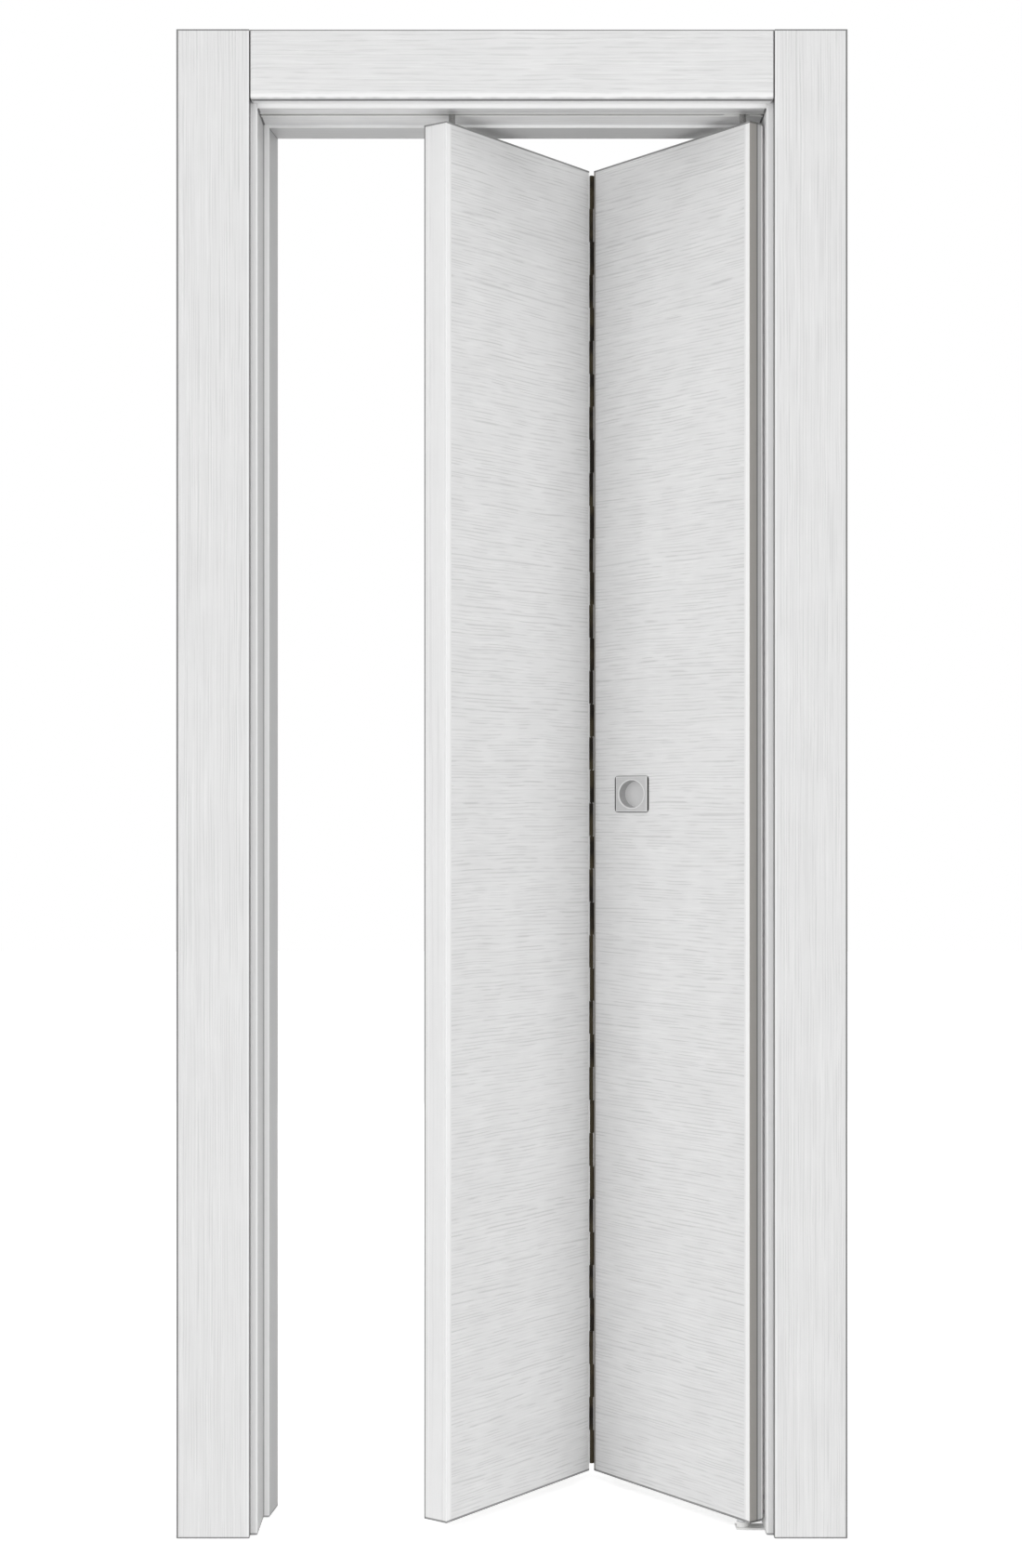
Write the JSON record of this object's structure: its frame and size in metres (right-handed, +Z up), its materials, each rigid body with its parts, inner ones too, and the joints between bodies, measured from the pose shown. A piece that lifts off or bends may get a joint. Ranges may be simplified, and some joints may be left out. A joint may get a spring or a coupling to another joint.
{
  "type": "bifold closet door",
  "caption": "Bifold closet door half folded in a white cased lining: two flat leaves on a continuous hinge, pivots, a top guide track and a flush pull.",
  "frame": {"origin": "on the floor at the middle of the opening, in the wall's front face", "axes": "+X along the wall to the pivot side, +Y into the closet, +Z up"},
  "size_m": [0.942, 0.3327, 2.117],
  "materials": {
    "white_wood": "white wood-grain foil, fine vertical grain",
    "leaf_skin": "white foil embossed with short wavy horizontal grain",
    "softwood": "sawn softwood",
    "core_board": "light particle board",
    "zinc_steel": "bright zinc",
    "hinge_metal": "dark bronze lacquer",
    "black_steel": "blackened steel",
    "white_lacquer": "white powder coat on steel",
    "aluminium": "aluminium with a white powder coat",
    "satin_metal": "satin brushed",
    "nylon": "natural nylon"
  },
  "bodies": {
    "frame": {"left_jamb": "white_wood", "right_jamb": "white_wood", "head_jamb": "white_wood", "left_stop": "white_wood", "right_stop": "white_wood", "head_stop": "white_wood", "left_casing": "white_wood", "right_casing": "white_wood", "head_casing": "white_wood", "frame_screws": "zinc_steel", "top_track": "aluminium", "top_pivot_bracket": "white_lacquer", "bottom_pivot_bracket": "white_lacquer", "bottom_bracket_screws": "white_lacquer"},
    "pivot_leaf": {"pivot_leaf_front_skin": "leaf_skin", "pivot_leaf_back_skin": "leaf_skin", "pivot_leaf_outer_lipping": "white_wood", "pivot_leaf_fold_lipping": "white_wood", "pivot_leaf_fold_stile": "softwood", "pivot_leaf_outer_stile": "softwood", "pivot_leaf_rails": "softwood", "pivot_leaf_lock_block": "softwood", "pivot_leaf_core": "core_board", "top_pivot_pin": "black_steel", "top_pivot_housing": "nylon", "bottom_pivot_pin": "zinc_steel", "bottom_pivot_housing": "nylon", "height_nut": "zinc_steel", "pivot_leaf_hinge_wing": "hinge_metal", "hinge_pin": "hinge_metal", "flush_pull": "satin_metal"},
    "lead_leaf": {"lead_leaf_front_skin": "leaf_skin", "lead_leaf_back_skin": "leaf_skin", "lead_leaf_outer_lipping": "white_wood", "lead_leaf_fold_lipping": "white_wood", "lead_leaf_fold_stile": "softwood", "lead_leaf_outer_stile": "softwood", "lead_leaf_rails": "softwood", "lead_leaf_lock_block": "softwood", "lead_leaf_core": "core_board", "guide_pin": "black_steel", "guide_housing": "nylon", "guide_clip": "black_steel", "lead_leaf_hinge_wing": "hinge_metal"},
    "guide_wheel": {"guide_wheel": "nylon"}
  },
  "joints": [
    {"name": "pivot", "type": "hinge", "parent": "frame", "child": "pivot_leaf", "pos_m": [0.3285, 0.036, 0], "axis": [0, 0, -1], "range_deg": [-53.3, 26.7]},
    {"name": "fold", "type": "hinge", "parent": "pivot_leaf", "child": "lead_leaf", "pos_m": [0.12158, 0.29085, 0], "axis": [0, 0, 1], "range_deg": [-106.6, 53.4]},
    {"name": "guide_spin", "type": "hinge", "parent": "lead_leaf", "child": "guide_wheel", "pos_m": [-0.08535, 0.036, 2.018], "axis": [0, 0, 1], "continuous": true}
  ],
  "couplings": [
    {"joint": "fold", "follows": "pivot", "ratio": 2}
  ]
}
